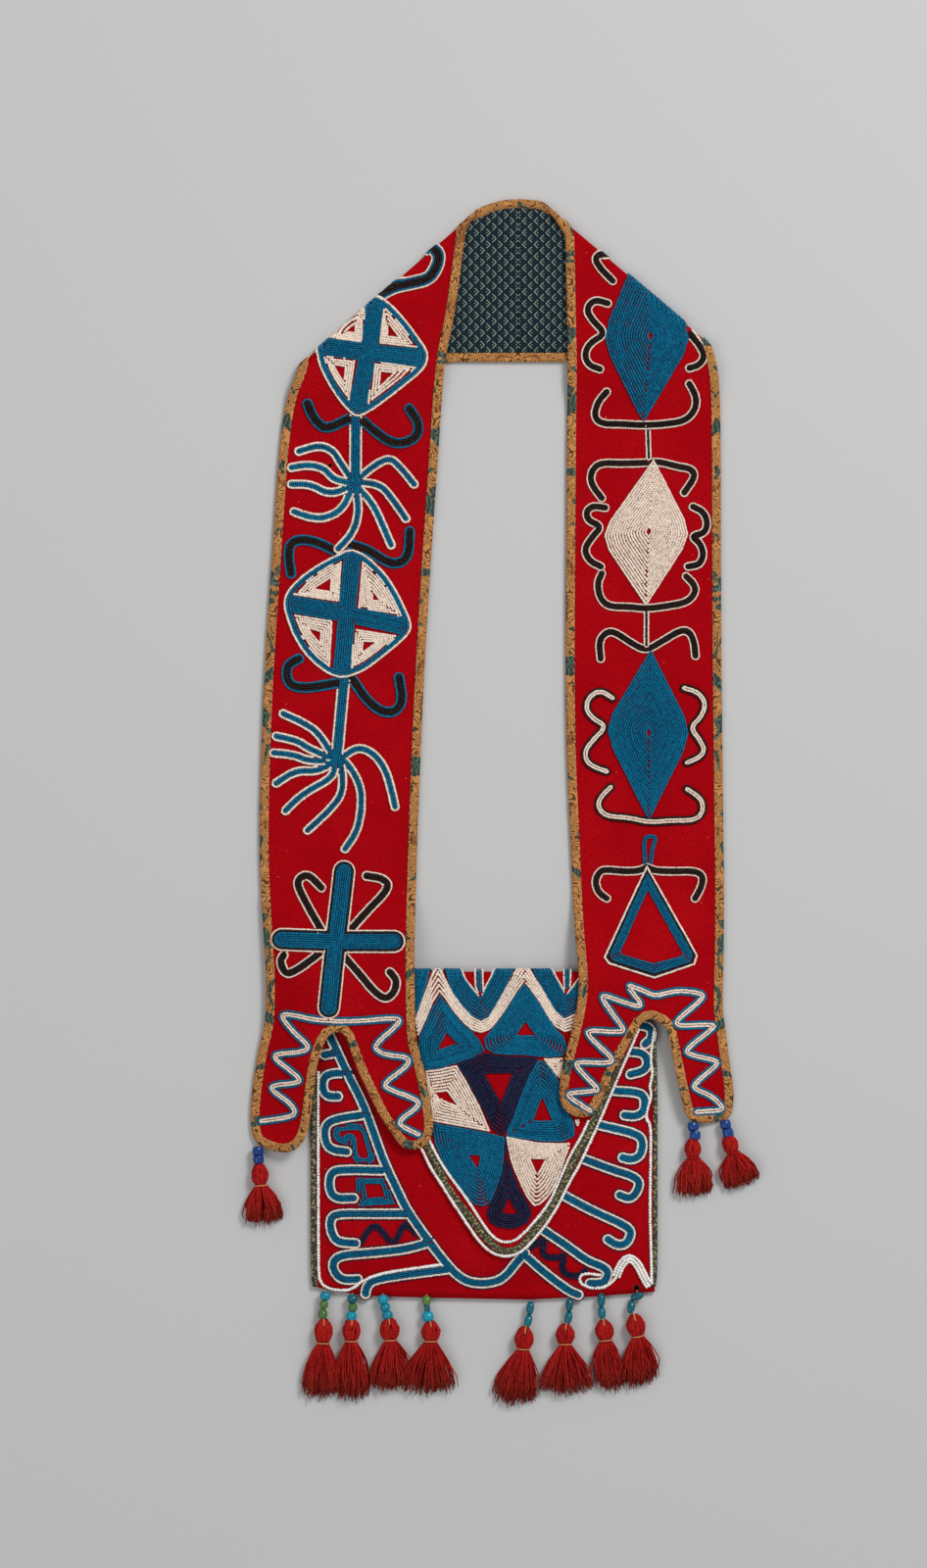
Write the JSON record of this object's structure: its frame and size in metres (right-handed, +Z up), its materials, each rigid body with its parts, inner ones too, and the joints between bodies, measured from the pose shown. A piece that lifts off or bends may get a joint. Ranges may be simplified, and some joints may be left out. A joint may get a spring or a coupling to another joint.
{
  "type": "beaded shoulder bag",
  "caption": "Flat cloth shoulder bag with a wide folded strap ending in forked tabs, a V-flap pouch, sewn beadwork, calico binding and wool tassels.",
  "frame": {"origin": "middle of the bag's box, on the table it lies on", "axes": "+Y along the bag from the tassels to the shoulder folds, +Z up out of the beaded face"},
  "size_m": [0.2984, 0.7042, 0.0138],
  "materials": {
    "wool": "felted wool",
    "lining_print": "printed calico",
    "binding_print": "printed calico",
    "dark_print": "printed calico",
    "olive_print": "printed calico",
    "blue_beads": "glass seed beads",
    "white_beads": "glass seed beads",
    "black_beads": "glass seed beads",
    "navy_beads": "glass seed beads",
    "teal_beads": "glass beads on thread",
    "cobalt_beads": "glass beads on thread",
    "yarn": "plied wool"
  },
  "bodies": {
    "root": {"flap_centre_triangle_navy": "navy_beads", "flap_cloth": "wool", "flap_edge_band": "olive_print", "flap_left_field_white": "white_beads", "flap_left_triangle_blue": "blue_beads", "flap_lower_left_field_blue": "blue_beads", "flap_lower_right_field_white": "white_beads", "flap_right_field_blue": "blue_beads", "flap_right_triangle_blue": "blue_beads", "flap_small_triangle_white": "white_beads", "flap_teardrop_navy": "navy_beads", "flap_top_left_blue": "blue_beads", "flap_top_right_blue": "blue_beads", "flap_zigzag_white": "white_beads", "left_lower_wheel_beads": "blue_beads", "left_star_beads": "blue_beads", "left_tab_bead_string": "cobalt_beads", "left_tab_tassel": "yarn", "left_upper_wheel_beads": "blue_beads", "left_zigzag_beads": "blue_beads", "pouch_1_bead_string": "teal_beads", "pouch_1_tassel": "yarn", "pouch_2_bead_string": "teal_beads", "pouch_2_tassel": "yarn", "pouch_3_bead_string": "teal_beads", "pouch_3_tassel": "yarn", "pouch_4_bead_string": "teal_beads", "pouch_4_tassel": "yarn", "pouch_5_bead_string": "teal_beads", "pouch_5_tassel": "yarn", "pouch_6_bead_string": "teal_beads", "pouch_6_tassel": "yarn", "pouch_7_bead_string": "teal_beads", "pouch_7_tassel": "yarn", "pouch_8_bead_string": "teal_beads", "pouch_8_tassel": "yarn", "pouch_back_panel": "wool", "pouch_front_panel": "wool", "pouch_left_binding": "dark_print", "pouch_left_comb_beads": "blue_beads", "pouch_left_edge_row": "white_beads", "pouch_right_binding": "dark_print", "pouch_right_comb_beads": "blue_beads", "pouch_right_edge_row": "white_beads", "right_lower_diamond_beads": "blue_beads", "right_middle_diamond_beads": "white_beads", "right_tab_1_bead_string": "cobalt_beads", "right_tab_1_tassel": "yarn", "right_tab_2_bead_string": "cobalt_beads", "right_tab_2_tassel": "yarn", "right_top_hook_beads": "black_beads", "right_triangle_beads": "blue_beads", "right_upper_diamond_beads": "blue_beads", "right_zigzag_beads": "blue_beads", "strap_left_binding": "binding_print", "strap_left_cloth": "wool", "strap_left_lining": "lining_print", "strap_right_binding": "binding_print", "strap_right_cloth": "wool", "strap_right_lining": "lining_print"}
  },
  "joints": []
}
